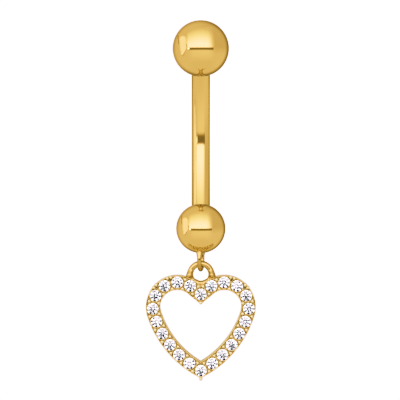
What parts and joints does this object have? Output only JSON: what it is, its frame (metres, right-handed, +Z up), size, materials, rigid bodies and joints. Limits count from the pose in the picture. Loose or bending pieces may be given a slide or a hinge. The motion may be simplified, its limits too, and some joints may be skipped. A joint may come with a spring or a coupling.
{
  "type": "navel ring",
  "caption": "Curved gold barbell navel ring with a screw-off top ball and an open heart drop of pavé stones that swings from the lower ball.",
  "frame": {"origin": "the middle of the stretch of bar between the two balls, on the bar's centreline, where the bar sits in the piercing", "axes": "+Z up along the bar's chord from the drop to the top ball; -Y to the viewer, the way that the bar's ends bend and the stones face; X left to right across the heart"},
  "size_m": [0.0098, 0.0065, 0.032],
  "materials": {
    "ball_gold": "polished 14k yellow gold",
    "bar_gold": "polished 14k yellow gold",
    "cast_gold": "polished cast 14k yellow gold with bright-cut seats",
    "stone": "clear faceted cubic zirconia"
  },
  "bodies": {
    "barbell": {"barbell": "bar_gold"},
    "top_ball": {"top_ball": "ball_gold"},
    "heart": {"heart_frame": "cast_gold", "stone_01": "stone", "stone_02": "stone", "stone_03": "stone", "stone_04": "stone", "stone_05": "stone", "stone_06": "stone", "stone_07": "stone", "stone_08": "stone", "stone_09": "stone", "stone_10": "stone", "stone_11": "stone", "stone_12": "stone", "stone_13": "stone", "stone_14": "stone", "stone_15": "stone", "stone_16": "stone", "stone_17": "stone", "stone_18": "stone", "stone_19": "stone", "stone_20": "stone", "stone_21": "stone", "stone_22": "stone"}
  },
  "joints": [
    {"name": "heart_swing", "type": "hinge", "parent": "barbell", "child": "heart", "pos_m": [0, -0.00304, -0.01102], "axis": [1, 0, 0], "range_deg": [-110, 110]},
    {"name": "ball_unscrew", "type": "slide", "parent": "barbell", "child": "top_ball", "axis": [0, -0.5649, 0.8252], "range_m": [0, 0.006]}
  ]
}
